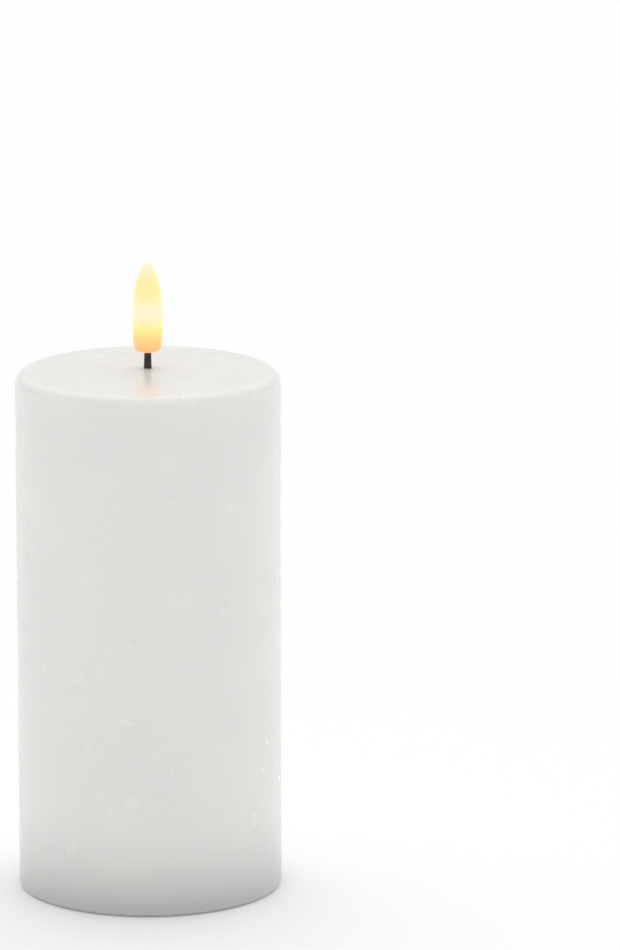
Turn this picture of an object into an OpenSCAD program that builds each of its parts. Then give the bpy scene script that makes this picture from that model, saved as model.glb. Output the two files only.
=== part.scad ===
// Flameless LED pillar candle: a hollow wax pillar with a glowing plastic flame on a wick,
// and an electronics module with two AA cells glued into its base.
// Millimetres, +Z up. The origin is the centre of the foot ring that the candle stands on.

/* [Wax pillar] */
// Outside diameter of the pillar
body_d = 75; // [74.5:0.5:100]
// Height of the pillar, from the foot to the crown of its top
body_h = 150; // [90:1:250]
// Wax wall beside the electronics module
wax_wall = 4.6; // [4:0.1:4.8]
// Wax wall above the module
wax_upper_wall = 6; // [5.5:0.5:9]
// Thickness of the wax top
wax_top_t = 9; // [8:0.5:14]
// Radius of the soft rim round the top
rim_round = 3.4; // [1:0.1:5]
// How far the middle of the top stands above its rim
crown_rise = 0.8; // [0:0.1:2]
// Radius of the foot's outer edge
foot_round = 1.6; // [0.5:0.1:2.5]

/* [Flame and wick] */
// Largest diameter of the flame
flame_d = 8.8; // [8:0.1:14]
// Height of the flame
flame_h = 26.2; // [20:0.1:40]
// Wall of the flame's shell
flame_wall = 1.0; // [0.8:0.1:1.4]
// Radius of the edge round the flame's foot
flame_foot_round = 1.8; // [1.4:0.1:1.8]
// Length of wick that shows below the flame
wick_show = 4.8; // [2:0.1:8]
// Diameter of the wick where it meets the flame
wick_d = 2.0; // [1.8:0.1:2.4]
// How much wider the wick is at the wax
wick_flare = 0.3; // [0:0.05:0.5]
// Bore of the wick, for its two leads
wick_bore = 1.2; // [1.1:0.05:1.4]

/* [Battery cells] */
// Diameter of an AA cell
cell_d = 14.5; // [14:0.1:14.6]
// Length of an AA cell with its positive nub
cell_l = 50.5; // [49:0.1:50.6]
// Space between the two cells
cell_gap = 0.7; // [0.4:0.1:1]
// Length of a contact spring with the cells in
spring_l = 4.7; // [4:0.1:4.8]
// Wire diameter of a contact spring
spring_wire = 0.6; // [0.5:0.05:0.8]
// Thickness of the contact plates
contact_t = 0.4; // [0.3:0.05:0.5]

/* [Base module] */
// Height of the module's underside above the table
base_recess = 1.8; // [1.2:0.1:3]
// Thickness of the module's floor
floor_t = 2; // [1.6:0.1:3]
// Thickness of the module's outer wall
skirt_t = 1.4; // [1.2:0.1:1.5]
// Thickness of the battery bay's walls
bay_wall = 1.2; // [1:0.1:1.4]
// Thickness of the module's cover
cover_t = 1.5; // [1.2:0.1:2.5]
// Space for leads between the bay and the cover
lead_space = 2.6; // [2.2:0.1:5]

/* [Battery door] */
// Thickness of the door
door_t = 1.6; // [1.2:0.1:1.8]
// Radius of the rolled edge that the door turns on
hinge_r = 1.8; // [1.8:0.1:2.4]
// Radius of the door's two hinge pins
hinge_pin_r = 1; // [0.8:0.05:1.1]
// Width of the snap tongue
latch_w = 6.4; // [4:0.1:6.4]

/* [Switch] */
// Travel of the switch from its middle to each end position
switch_throw = 2; // [1.5:0.1:2.2]
// Length of the finger pad
pad_l = 4.6; // [3.5:0.1:5]
// Width of the finger pad
pad_w = 3.4; // [2.6:0.1:3.8]

/* [Fits] */
// Gap all round between the module and the wax, filled by the adhesive band
module_gap = 0.3; // [0.2:0.05:0.5]
// Radial clearance of the hinge pins in their ears
pin_clear = 0.05; // [0.03:0.01:0.1]
// Gap between the door and the floor round it
door_gap = 0.3; // [0.2:0.05:0.5]
// Clearance between parts that are pushed together
fit = 0.1; // [0.05:0.05:0.2]

/* [Hidden] */
$fn = 64;
eps = 0.01;

// Wax pillar
body_r = body_d / 2;
rim_z = body_h - crown_rise;
pocket_r = body_r - wax_wall;
hollow_r = body_r - wax_upper_wall;
hollow_round = 4;

// Battery bay: the cells lie along X, side by side, with opposite ends at each contact
nub_d = 5.5;
nub_h = 1.2;
dimple_h = 1.2;
sleeve_t = 0.25;
cell_r = cell_d / 2;
cell_y = (cell_d + cell_gap) / 2;
bay_side_gap = 0.75;
contact_x = (dimple_h + cell_l + spring_l) / 2;
bay_end = contact_x + contact_t;
bay_side = cell_y + cell_r + bay_side_gap;

// Heights in the module
floor_z = base_recess + floor_t;
hinge_z = base_recess + hinge_r;
cell_z = hinge_z + hinge_r + door_gap + cell_r;
bay_top = cell_z + cell_r + 0.4;
bay_roof = bay_top + bay_wall;
skirt_top = bay_roof + lead_space;
cover_top = skirt_top + cover_t;
ledge_z = cover_top + module_gap;

// Module radii
module_r = pocket_r - module_gap;
skirt_r = module_r - skirt_t;

// Door and its hinge, at the +X end, and its snap tongue at the -X end
hinge_x = bay_end - 0.4 - hinge_r;
hinge_half = bay_side - 3.6;
hinge_pin_l = 1.6;
hinge_web = 3;
swing_gap = hinge_web - sqrt(pow(hinge_web, 2) - pow(hinge_r, 2)) + 0.15;
ear_t = 1.8;
door_end = -contact_x + 0.2;
door_side = bay_side - 0.2;
door_corner = 5;
door_rib_t = 1.2;
grip_l = 12;
grip_w = 0.8;
grip_pitch = 1.8;
grip_x = door_end + 4;
foam_l = 2 / 3 * cell_l;
foam_w = 8;
latch_t = 0.8;
latch_in_x = -contact_x + 1;
latch_out_x = -contact_x - 1;
latch_top = floor_z + 5.2;
barb = 0.4;
latch_edge = latch_out_x - latch_t / 2 - barb;
latch_slot = latch_w / 2 + 0.4;
catch_gap = 0.15;
scallop_r = 5.2;
scallop_depth = 1;

// End contacts, and the slots in the bay's roof for their solder tabs
contact_half = cell_y - latch_w / 2 - 0.2;
contact_low = cell_z - 5.4;
contact_high = bay_top - 0.4;
tab_w = 3;
tab_z = bay_roof + 1;
tab_high = tab_z + 0.8;
tab_room = 0.15;

// Cover screws and their bosses
screw_r = 1;
screw_head_r = 1.9;
screw_l = 8;
boss_r = 2.6;
boss_ring = skirt_r - 2.2;
boss_angles = [60, 120, -50, -130];
boss_hole_l = screw_l + 1;
lip_t = 1.2;
lip_h = 1.4;

// Control board, in the side compartment at -Y
board_t = 1.2;
board_l = 29.6;
board_w = 11.6;
board_edge = bay_side + bay_wall + 1.2;
board_z = floor_z + 9.2;
board_top = board_z + board_t;
board_clear = 0.6;
switch_y = -(board_edge + 6);
board_screw_x = 12;
board_screw_y = switch_y - 0.6;
board_screw_l = 6;
board_boss_r = 2.2;
pad_row_y = -(board_edge + 1.6);

// Slide switch
can_l = 12.5;
can_w = 4.4;
can_h = 3.9;
can_t = 0.3;
leg_w = 0.8;
pin_r = 0.3;
switch_base_t = 0.8;
can_z = board_z - switch_base_t - can_h;
pin_pitch = 2.5;
actuator_l = 2;
actuator_w = 1.6;
knob_plate_t = 1.2;
knob_plate_w = pad_w + 2.8;
rail_t = 1;
knob_z = floor_z + fit;
slot_l = pad_l + 2 * switch_throw + 0.6;

// Flame and wick
flame_z = body_h + wick_show;
flame_r = flame_d / 2;
plug_r = 2.1;
plug_h = 2;
sleeve_r = wick_d / 2 + wick_flare / 2;
sleeve_bottom = body_h - wax_top_t - 5;
bush_r = 3;
bush_top = body_h - 4;
flame_board_z = flame_z + plug_h;
flame_board_h = 12;
led_z = flame_z + 0.4 * flame_h;

// Leads: the flame's pair drops through the hollow, and the battery's pair crosses the bay's roof
flame_lead_d = 0.5;
battery_lead_d = 1.1;
lead_hole_x = 6.5;
lead_hole_y = pad_row_y - 1.4;
flame_pads = [lead_hole_x - 1.1, lead_hole_x + 1.1];
battery_pads = [-9.4, -12];
solder_h = 0.8;

// ---------------------------------------------------------------- helpers

// Points of an arc in the plane, from one angle to another
function arc(centre, r, from, to, steps) =
    [for (i = [0:steps]) let (a = from + (to - from) * i / steps)
        centre + r * [cos(a), sin(a)]];

function unit(v) = v / norm(v);

// One point of a smooth curve through four neighbours
function smooth_point(a, b, c, d, t) =
    0.5 * (2 * b + (c - a) * t + (2 * a - 5 * b + 4 * c - d) * t * t
        + (3 * b - a - 3 * c + d) * t * t * t);

// A smooth curve through a few points
function smooth_path(points, steps) = let (last = len(points) - 1) [
    for (i = [0:last - 1], j = [0:steps - 1])
        smooth_point(points[max(i - 1, 0)], points[i], points[i + 1],
            points[min(i + 2, last)], j / steps),
    points[last]
];

function tangent(path, i) =
    unit(path[min(i + 1, len(path) - 1)] - path[max(i - 1, 0)]);

// What is left of v across the direction t, at unit length
function across(v, t) = unit(v - (v * t) * t);

// A side direction for each point of a path, turning no more than the path does
function sides_of(path, start) = [
    for (i = 0, n = across(start, tangent(path, 0)); i < len(path);
        i = i + 1, n = i < len(path) ? across(n, tangent(path, i)) : n) n
];

// A round wire along a path
module wire(path, d, start, sides = 8) {
    normals = sides_of(path, start);
    rings = len(path);
    points = [
        for (i = [0:rings - 1], k = [0:sides - 1])
            let (n = normals[i], b = cross(tangent(path, i), n), a = 360 * k / sides)
                path[i] + d / 2 * (cos(a) * n + sin(a) * b)
    ];
    walls = [
        for (i = [0:rings - 2], k = [0:sides - 1])
            let (m = (k + 1) % sides)
                [i * sides + k, (i + 1) * sides + k, (i + 1) * sides + m, i * sides + m]
    ];
    ends = [
        [for (k = [0:sides - 1]) k],
        [for (k = [sides - 1:-1:0]) (rings - 1) * sides + k]
    ];
    polyhedron(points, concat(walls, ends), convexity = 10);
}

// A block from one corner to the opposite one
module block(low, high) translate(low) cube(high - low);

// A bar along Y, centred on the XZ plane
module bar_y(x, z, r, half)
    translate([x, 0, z]) rotate([90, 0, 0]) cylinder(r = r, h = 2 * half, center = true);

// A ring standing on z
module ring(outer, inner, z, h) translate([0, 0, z]) difference() {
    cylinder(r = outer, h = h);
    translate([0, 0, -1]) cylinder(r = inner, h = h + 2);
}

// Places its children at each boss of the cover screws
module at_bosses() for (a = boss_angles) rotate(a) translate([boss_ring, 0, 0]) children();

// Places its children at both board screws
module at_board_screws() for (s = [-1, 1]) translate([s * board_screw_x, board_screw_y, 0]) children();

// A self-tapping screw, head up, with the underside of its head at z = 0
module tapping_screw(length, head_r) {
    pitch = 0.8;
    turns = floor((length - 1) / pitch);
    outline = concat(
        [[0, 1.4], [head_r * 0.6, 1.3], [head_r, 0.7], [head_r, 0], [screw_r * 0.75, 0]],
        [for (i = [0:turns - 1], p = [[0.75, 0.1], [0.95, 0.4], [0.75, 0.7]])
            [screw_r * p[0], -(i + p[1]) * pitch]],
        [[0, -length]]
    );
    difference() {
        rotate_extrude() polygon(outline);
        for (a = [0, 90]) rotate(a) translate([-head_r * 0.55, -0.25, 0.6]) cube([head_r * 1.1, 0.5, 1]);
    }
}

// ---------------------------------------------------------------- wax pillar

function crown_points(steps) = let (edge = body_r - rim_round)
    [for (i = [1:steps]) let (r = edge * (1 - i / steps))
        if (r > sleeve_r + fit) [r, rim_z + crown_rise * (1 - pow(r / edge, 2))]];

module wax_shell() color("ivory") rotate_extrude($fn = 128) polygon(concat(
    [[pocket_r, 0]],
    arc([body_r - foot_round, foot_round], foot_round, -90, 0, 6),
    arc([body_r - rim_round, rim_z - rim_round], rim_round, 0, 90, 12),
    crown_points(8),
    [[sleeve_r + fit, body_h], [sleeve_r + fit, bush_top], [bush_r + fit, bush_top],
        [bush_r + fit, body_h - wax_top_t]],
    arc([hollow_r - hollow_round, body_h - wax_top_t - hollow_round], hollow_round, 90, 0, 6),
    [[hollow_r, ledge_z], [pocket_r, ledge_z]]
));

// ---------------------------------------------------------------- flame and wick

// Radius of the flame at a height above its foot: it swells a little to its waist, then is an ogive
function flame_radius(z, r = flame_r, h = flame_h) = let (waist = 0.44 * h)
    z < waist ? r - 0.14 * r * pow(1 - z / waist, 2)
        : r * pow(1 - pow((z - waist) / (h - waist), 1.75), 0.66);

function flame_side(from, r, h, steps) =
    [for (i = [0:steps]) let (z = from + (h - from) * sin(90 * i / steps))
        [i == steps ? 0 : flame_radius(z, r, h), z]];

module flame_diffuser() color("moccasin") translate([0, 0, flame_z]) {
    foot = flame_foot_round;
    foot_centre = [flame_radius(foot) - foot, foot];
    inner_r = flame_r - flame_wall;
    inner_h = flame_h - 2 * flame_wall;
    inside = concat(
        [[plug_r, flame_wall]],
        arc(foot_centre, foot - flame_wall, -90, -6, 4),
        flame_side(foot, inner_r, inner_h, 18)
    );
    rotate_extrude() polygon(concat(
        [[plug_r, 0]],
        arc(foot_centre, foot, -90, -6, 6),
        flame_side(foot, flame_r, flame_h, 24),
        [for (i = [len(inside) - 1:-1:0]) inside[i]]
    ));
}

// Closes the flame's foot, and takes the top of the wick from below
module flame_plug() color("navajowhite") translate([0, 0, flame_z]) difference() {
    cylinder(r = plug_r - fit / 2, h = plug_h);
    translate([0, 0, -1]) cylinder(r = wick_d / 2 + fit / 2, h = plug_h / 2 + 1);
    cylinder(r = wick_bore / 2, h = plug_h + 1);
}

module flame_board() color("white")
    translate([-1.3, -0.4, flame_board_z]) cube([2.6, 0.8, flame_board_h]);

// A chip with its clear dome, on both faces of the flame's board
module flame_leds() color("gold") for (s = [0, 180]) rotate(s) translate([0, -0.4, led_z]) {
    block([-0.8, -0.5, -0.6], [0.8, 0, 0.6]);
    translate([0, -0.5, 0]) intersection() {
        sphere(r = 0.55);
        block([-1, -1, -1], [1, 0, 1]);
    }
}

module wick_sleeve() color("dimgray") rotate_extrude() polygon([
    [wick_bore / 2, sleeve_bottom], [sleeve_r, sleeve_bottom], [sleeve_r, body_h],
    [wick_d / 2, flame_z - 0.4], [wick_d / 2, flame_z + plug_h / 2 - fit],
    [wick_bore / 2, flame_z + plug_h / 2 - fit]
]);

// Bush that holds the wick upright, pushed up into the wax top from inside
module wick_bush() color("whitesmoke") {
    flange_r = 7;
    flange_t = 1.4;
    under = body_h - wax_top_t;
    difference() {
        union() {
            translate([0, 0, under - flange_t]) cylinder(r = flange_r, h = flange_t);
            translate([0, 0, under - flange_t]) cylinder(r = bush_r, h = bush_top - under + flange_t - fit);
        }
        translate([0, 0, under - 10]) cylinder(r = sleeve_r + fit / 2, h = 20);
    }
}

// Each lead of the flame: down the wick, slack through the hollow, and through the cover to its pad
function flame_lead_path(side) = let (x = side * 0.28, pad = flame_pads[side > 0 ? 1 : 0]) smooth_path([
    [x, 0, flame_board_z], [x, 0, flame_z - 4], [x, 0, sleeve_bottom], [2 * x, -0.3, sleeve_bottom - 6],
    [3 * x + 3, -4, sleeve_bottom - 24], [5 * x + 7, -9, (sleeve_bottom + cover_top) / 2 + 12],
    [5 * x + 4, -16, (sleeve_bottom + cover_top) / 2 - 12], [pad - 1, lead_hole_y - 2, cover_top + 16],
    [pad, lead_hole_y, cover_top + 3], [pad, lead_hole_y, skirt_top - 3],
    [pad, pad_row_y, board_top + 3], [pad, pad_row_y, board_top + solder_h]
], 5);

module flame_lead_red() color("firebrick") wire(flame_lead_path(1), flame_lead_d, [0, 1, 0]);

module flame_lead_black() color("black") wire(flame_lead_path(-1), flame_lead_d, [0, 1, 0]);

// ---------------------------------------------------------------- base module

// The battery bay's inside, as far as the module's wall lets it reach
module bay_space() intersection() {
    block([-bay_end, -bay_side, floor_z], [bay_end, bay_side, bay_top]);
    cylinder(r = skirt_r, h = bay_top + 1);
}

// The battery bay's walls and roof, with a rib from each end wall to the module's wall
module bay_walls() intersection() {
    union() {
        block([-bay_end - bay_wall, -bay_side - bay_wall, floor_z - eps],
            [bay_end + bay_wall, bay_side + bay_wall, bay_roof]);
        for (a = [0, 180]) rotate(a)
            block(
                [bay_end + bay_wall - eps, -bay_wall / 2, floor_z - eps],
                [module_r, bay_wall / 2, skirt_top]
            );
    }
    cylinder(r = skirt_r + skirt_t / 2, h = skirt_top);
}

// The hole in the floor that the door closes
module door_opening() {
    linear_extrude(height = floor_z + eps) door_outline(door_gap, swing_gap);
    block([hinge_x - hinge_web, -hinge_half - door_gap, 0], [bay_end, hinge_half + door_gap, floor_z + eps]);
    block([latch_edge - catch_gap, -latch_slot, 0], [0, latch_slot, floor_z + eps]);
}

// Raised off, on and timer marks beside the switch: a ring, a bar and a clock face
module switch_marks() {
    mark_r = 1.1;
    line = 0.3;
    proud = 0.3;
    translate([0, switch_y - pad_w / 2 - 2.6, base_recess - proud]) {
        for (s = [-1, 1]) translate([s * slot_l / 2, 0, 0]) ring(mark_r, mark_r - line, 0, proud + eps);
        block([-line / 2, -mark_r, 0], [line / 2, mark_r, proud + eps]);
        translate([slot_l / 2, 0, 0]) {
            block([-line / 3, -line / 3, 0], [line / 3, mark_r - line / 2, proud + eps]);
            block([-line / 3, -line / 3, 0], [mark_r - 2 * line, line / 3, proud + eps]);
        }
    }
}

module base_housing() color("whitesmoke") {
    chamfer = 0.4;
    difference() {
        union() {
            translate([0, 0, base_recess]) cylinder(r1 = module_r - chamfer, r2 = module_r, h = chamfer);
            translate([0, 0, base_recess + chamfer]) cylinder(r = module_r, h = floor_t - chamfer);
            ring(module_r, skirt_r, floor_z - eps, skirt_top - floor_z + eps);
            bay_walls();
            at_bosses() translate([0, 0, floor_z - eps]) cylinder(r = boss_r, h = skirt_top - floor_z + eps);
            at_board_screws() translate([0, 0, floor_z - eps])
                cylinder(r = board_boss_r, h = board_z - floor_z + eps);
            knob_rails();
        }
        difference() {
            bay_space();
            hinge_ears();
        }
        door_opening();
        for (s = [-1, 1]) translate([0, s * (hinge_half + door_gap), 0])
            bar_y(hinge_x, hinge_z, hinge_pin_r + pin_clear, hinge_pin_l);
        at_bosses() translate([0, 0, skirt_top - boss_hole_l]) cylinder(r = screw_r, h = boss_hole_l + 1);
        at_board_screws() translate([0, 0, board_z - board_screw_l])
            cylinder(r = screw_r, h = board_screw_l + 1);
        block(
            [-slot_l / 2, switch_y - pad_w / 2 - 0.2, 0],
            [slot_l / 2, switch_y + pad_w / 2 + 0.2, floor_z + 1]
        );
        // slots in the bay's roof for the tabs of the two end contacts
        for (s = [-1, 1]) translate([-contact_x, s * cell_y, 0])
            block([-contact_t - tab_room, -tab_w / 2 - tab_room, bay_top - 1],
                [tab_room, tab_w / 2 + tab_room, bay_roof + 1]);
        // window in the bay's end wall for the snap tongue
        block([-skirt_r + 0.6, -latch_slot, floor_z - eps], [-contact_x + 3, latch_slot, latch_top + 1.5]);
        // scallop for a fingertip beside the snap tongue
        translate([latch_out_x - latch_t, 0, base_recess - eps])
            cylinder(r1 = scallop_r, r2 = scallop_r - 1.2, h = scallop_depth + eps);
    }
    switch_marks();
}

// Two rails that keep the knob's plate in line
module knob_rails() for (s = [-1, 1]) translate([0, switch_y + s * (knob_plate_w / 2 + fit + rail_t / 2), 0])
    block([-slot_l / 2 - 2, -rail_t / 2, floor_z - eps], [slot_l / 2 + 2, rail_t / 2, knob_z + knob_plate_t]);

// Two ears that stay standing in the bay, for the sockets that the door's pins turn in
module hinge_ears() for (s = [-1, 1]) translate([0, s * (hinge_half + door_gap + ear_t / 2), 0])
    block(
        [hinge_x - hinge_r - 0.4, -ear_t / 2, base_recess],
        [bay_end + 1, ear_t / 2, hinge_z + hinge_r + 0.2]
    );

// Hot-melt film that holds the module in the wax
module adhesive_band() color("khaki") ring(pocket_r, module_r, base_recess + 3, 6);

// Lip that centres the cover in the housing; it leaves room for the bosses and the contacts' tabs
module cover_lip() difference() {
    ring(skirt_r - 2 * fit, skirt_r - 2 * fit - lip_t, skirt_top - lip_h, lip_h + eps);
    at_bosses() translate([0, 0, skirt_top - lip_h - 1]) cylinder(r = boss_r + 0.3, h = lip_h + 2);
    for (s = [-1, 1]) translate([s * skirt_r, 0, skirt_top])
        cube([6, 2 * (cell_y + cell_r), 2 * lip_h + 1], center = true);
}

module cover_plate() color("white") difference() {
    union() {
        translate([0, 0, skirt_top]) cylinder(r = module_r, h = cover_t);
        cover_lip();
        translate([lead_hole_x, lead_hole_y, cover_top - eps]) cylinder(r1 = 3.4, r2 = 3, h = 1.2);
    }
    at_bosses() translate([0, 0, skirt_top - lip_h]) cylinder(r = screw_r + 0.2, h = lip_h + cover_t + 1);
    translate([lead_hole_x, lead_hole_y, skirt_top - 1]) cylinder(r = 2, h = cover_t + 4);
}

module cover_screws() color("silver") at_bosses()
    translate([0, 0, cover_top]) tapping_screw(screw_l, screw_head_r);

// ---------------------------------------------------------------- control board

module control_board() color("seagreen") difference() {
    intersection() {
        block([-board_l / 2, -board_edge - board_w, board_z], [board_l / 2, -board_edge, board_top]);
        cylinder(r = skirt_r - board_clear, h = board_top + 1);
    }
    at_board_screws() cylinder(r = screw_r + 0.1, h = board_top + 1);
    at_switch_pins() cylinder(r = pin_r + 0.15, h = board_top + 1);
    at_can_legs() cylinder(r = leg_w / 2 + 0.15, h = board_top + 1);
}

module board_screws() color("silver") at_board_screws()
    translate([0, 0, board_top]) tapping_screw(board_screw_l, screw_head_r - 0.2);

module timer_chip() color("black") translate([0, pad_row_y - 1.2, board_top + 0.15])
    block([-1.45, -0.8, 0], [1.45, 0.8, 1.1]);

// Six gull-wing leads of the timer chip
module chip_leads() color("silver") translate([0, pad_row_y - 1.2, board_top])
    for (s = [0, 180], x = [-0.95, 0, 0.95]) rotate(s) translate([x, 0, 0]) {
        block([-0.2, 0.8, 0.5], [0.2, 1.15, 0.65]);
        block([-0.2, 1.0, 0], [0.2, 1.15, 0.65]);
        block([-0.2, 1.0, 0], [0.2, 1.5, 0.15]);
    }

// Watch crystal lying on the board
module timer_crystal() color("lightgray")
    translate([-3, pad_row_y - 1.6, board_top + 1]) rotate([0, -90, 0]) {
    cylinder(r = 1, h = 5);
    translate([0, 0, -0.4]) cylinder(r = 0.8, h = 0.4);
}

module chip_resistors() color("darkslategray")
    for (x = [-6, -3, 3, 6]) translate([x, switch_y - 3.4, board_top])
        block([-0.8, -0.4, 0], [0.8, 0.4, 0.5]);

module smoothing_capacitor() color("midnightblue")
    translate([11, pad_row_y - 0.8, board_top]) rotate_extrude()
    polygon([[0, 0], [2, 0], [2, 0.9], [1.85, 1.1], [2, 1.3], [2, 5.2], [1.8, 5.4], [0, 5.4]]);

// Places its children at the switch's four pins
module at_switch_pins() for (i = [-1.5:1.5]) translate([i * pin_pitch, switch_y, 0]) children();

// Places its children at the two legs of the switch's can
module at_can_legs() for (s = [-1, 1]) translate([s * (can_l - can_t) / 2, switch_y, 0]) children();

// A leg of the switch's can, grown by a gap all round
module can_leg(gap) block([-can_t / 2 - gap, -leg_w / 2 - gap, can_z + can_h - eps],
    [can_t / 2 + gap, leg_w / 2 + gap, board_top + 0.8 + gap]);

// Solder on the pads of the four leads, and round the switch's pins and legs
module solder_joints() color("lightsteelblue") {
    for (x = concat(flame_pads, battery_pads)) translate([x, pad_row_y, board_top])
        cylinder(r1 = 0.95, r2 = 0.55, h = solder_h);
    at_switch_pins() ring(0.8, pin_r + 0.02, board_top, 0.5);
    at_can_legs() difference() {
        translate([0, 0, board_top]) cylinder(r = 0.95, h = 0.5);
        can_leg(0.02);
    }
}

// ---------------------------------------------------------------- slide switch

// Steel can with a slot for the lever below, and two legs through the board
module switch_can() color("silver") {
    translate([0, switch_y, can_z]) difference() {
        block([-can_l / 2, -can_w / 2, 0], [can_l / 2, can_w / 2, can_h]);
        block(
            [-can_l / 2 + can_t, -can_w / 2 + can_t, can_t],
            [can_l / 2 - can_t, can_w / 2 - can_t, can_h + 1]
        );
        block([-switch_throw - actuator_l / 2 - 0.2, -actuator_w / 2 - 0.2, -1],
            [switch_throw + actuator_l / 2 + 0.2, actuator_w / 2 + 0.2, 1]);
    }
    at_can_legs() can_leg(0);
}

module switch_base() color("saddlebrown") difference() {
    translate([0, switch_y, can_z + can_h])
        block([-can_l / 2 + can_t, -can_w / 2, 0], [can_l / 2 - can_t, can_w / 2, switch_base_t]);
    at_switch_pins() cylinder(r = pin_r, h = board_top);
}

module switch_pins() color("gainsboro") at_switch_pins()
    translate([0, 0, board_z - switch_base_t - 0.5]) cylinder(r = pin_r, h = board_t + switch_base_t + 1.3);

// The switch's own lever: a block in the can, and a stem that stands out of it
module switch_actuator() color("black") translate([0, switch_y, 0]) {
    block([-2.3, -can_w / 2 + can_t + 0.2, can_z + can_t + 0.2], [2.3, can_w / 2 - can_t - 0.2, can_z + 2]);
    block(
        [-actuator_l / 2, -actuator_w / 2, knob_z + knob_plate_t + 0.6],
        [actuator_l / 2, actuator_w / 2, can_z + 2]
    );
}

// Knob: a plate inside that keeps the slot covered, a ribbed pad outside and a socket for the lever
module switch_knob() color("dimgray") translate([0, switch_y, 0]) {
    plate_half = slot_l / 2 + switch_throw + 0.5;
    socket_top = can_z - 0.3;
    pad_bottom = 0.6;
    difference() {
        union() {
            block(
                [-plate_half, -knob_plate_w / 2, knob_z],
                [plate_half, knob_plate_w / 2, knob_z + knob_plate_t]
            );
            block([-pad_l / 2, -pad_w / 2, pad_bottom + 0.4], [pad_l / 2, pad_w / 2, knob_z + eps]);
            block([-2.2, -1.6, knob_z + knob_plate_t - eps], [2.2, 1.6, socket_top]);
            for (i = [-2:2]) translate([i * pad_l / 6, 0, pad_bottom])
                block([-0.22, -pad_w / 2, 0], [0.22, pad_w / 2, 0.5]);
        }
        block([-actuator_l / 2 - fit / 2, -actuator_w / 2 - fit / 2, knob_z + knob_plate_t + 0.5],
            [actuator_l / 2 + fit / 2, actuator_w / 2 + fit / 2, can_z + 1]);
    }
}

// ---------------------------------------------------------------- cells and contacts

// Places its children on the axis of a cell, with z from the shoulder behind its positive nub
module on_cell_axis() translate([-contact_x + dimple_h + nub_h, 0, cell_z]) rotate([0, 90, 0]) children();

// A cell's steel can, with its nub pointing along -X
module cell_can() on_cell_axis() {
    length = cell_l - nub_h;
    r = cell_r - sleeve_t;
    translate([0, 0, -nub_h]) cylinder(r = nub_d / 2, h = nub_h + eps);
    rotate_extrude() polygon([
        [0, 0], [r - 1.9, 0], [r - 1.5, 0.2], [r - 0.4, 0.2],
        [r, 0.6], [r, length - 0.5], [r - 0.5, length], [0, length]
    ]);
}

// The printed sleeve round a cell
module cell_sleeve() on_cell_axis() ring(cell_r, cell_r - sleeve_t, 0.6, cell_l - nub_h - 1.1);

module cell_a() color("silver") translate([0, cell_y, 0]) cell_can();

module cell_b() color("silver") rotate(180) translate([0, cell_y, 0]) cell_can();

module cell_sleeve_a() color("slategray") translate([0, cell_y, 0]) cell_sleeve();

module cell_sleeve_b() color("slategray") rotate(180) translate([0, cell_y, 0]) cell_sleeve();

// A contact plate behind one cell at the -X end, with its solder tab up through the bay's roof
module end_contact() {
    block(
        [-contact_x - contact_t, cell_y - contact_half, contact_low],
        [-contact_x, cell_y + contact_half, contact_high]
    );
    block(
        [-contact_x - contact_t, cell_y - tab_w / 2, contact_high - eps],
        [-contact_x, cell_y + tab_w / 2, tab_high]
    );
}

// The dimple that a cell's nub presses on, for the cell at +Y and the -X end
module contact_dimple() translate([-contact_x - eps, cell_y, cell_z]) rotate([0, 90, 0])
    cylinder(r1 = nub_d / 2 + 0.25, r2 = nub_d / 2 - 0.75, h = dimple_h + eps);

module positive_contact() color("gainsboro") {
    end_contact();
    contact_dimple();
}

module negative_contact() color("gainsboro") mirror([0, 1, 0]) end_contact();

module bridge_contact() color("gainsboro") {
    block(
        [contact_x, -cell_y - contact_half, contact_low],
        [contact_x + contact_t, cell_y + contact_half, contact_high]
    );
    rotate(180) contact_dimple();
}

// A conical contact spring from the contact plane at -X, towards +X, with a closed turn at each end
module contact_spring() {
    turns = 4;
    steps = 60;
    wide = contact_half - 0.5;
    narrow = 2.1;
    closed = 0.2;
    rise = spring_l - spring_wire - 0.1;
    path = [for (i = [0:steps]) let (
            t = i / steps,
            a = 360 * turns * t,
            r = wide + (narrow - wide) * t,
            lift = min(max((t - closed) / (1 - 2 * closed), 0), 1)
        ) [-contact_x + spring_wire / 2 + 0.05 + rise * (0.9 * lift + 0.1 * t), r * cos(a), r * sin(a)]];
    translate([0, 0, cell_z]) wire(path, spring_wire, [1, 0, 0], 8);
}

module negative_spring() color("silver") translate([0, -cell_y, 0]) contact_spring();

module bridge_spring() color("silver") rotate(180) translate([0, -cell_y, 0]) contact_spring();

// A battery lead from its tab, over the bay's roof, and down to its pad
module battery_lead(side, turn, pad) wire(smooth_path([
    [-contact_x, side * cell_y, tab_z], [-contact_x + 1.6, side * cell_y, tab_z],
    [-contact_x + 4.4, side * cell_y - 3, tab_z], turn, [pad - 1.9, pad_row_y + 2.2, tab_z],
    [pad, pad_row_y, bay_roof - 3.6], [pad, pad_row_y, board_top + solder_h]
], 5), battery_lead_d, [0, 0, 1]);

module battery_lead_red() color("firebrick") battery_lead(1, [-16, -cell_y - 1.4, tab_z], battery_pads[0]);

module battery_lead_black() color("black") battery_lead(-1, [-18, 1.6 - bay_side, tab_z], battery_pads[1]);

// ---------------------------------------------------------------- battery door

// Outline of the door in plan, grown by a gap round it and by another at its hinge end
module door_outline(gap, hinge_gap) {
    corner = door_corner + gap;
    shoulder = hinge_x - hinge_web + hinge_gap;
    middle = door_side - door_corner;
    for (s = [-1, 1]) translate([door_end + door_corner, s * middle]) circle(r = corner);
    translate([door_end - gap, -middle]) square([shoulder - door_end + gap, 2 * middle]);
    translate([door_end + door_corner, -door_side - gap])
        square([shoulder - door_end - door_corner, 2 * (door_side + gap)]);
}

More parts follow.
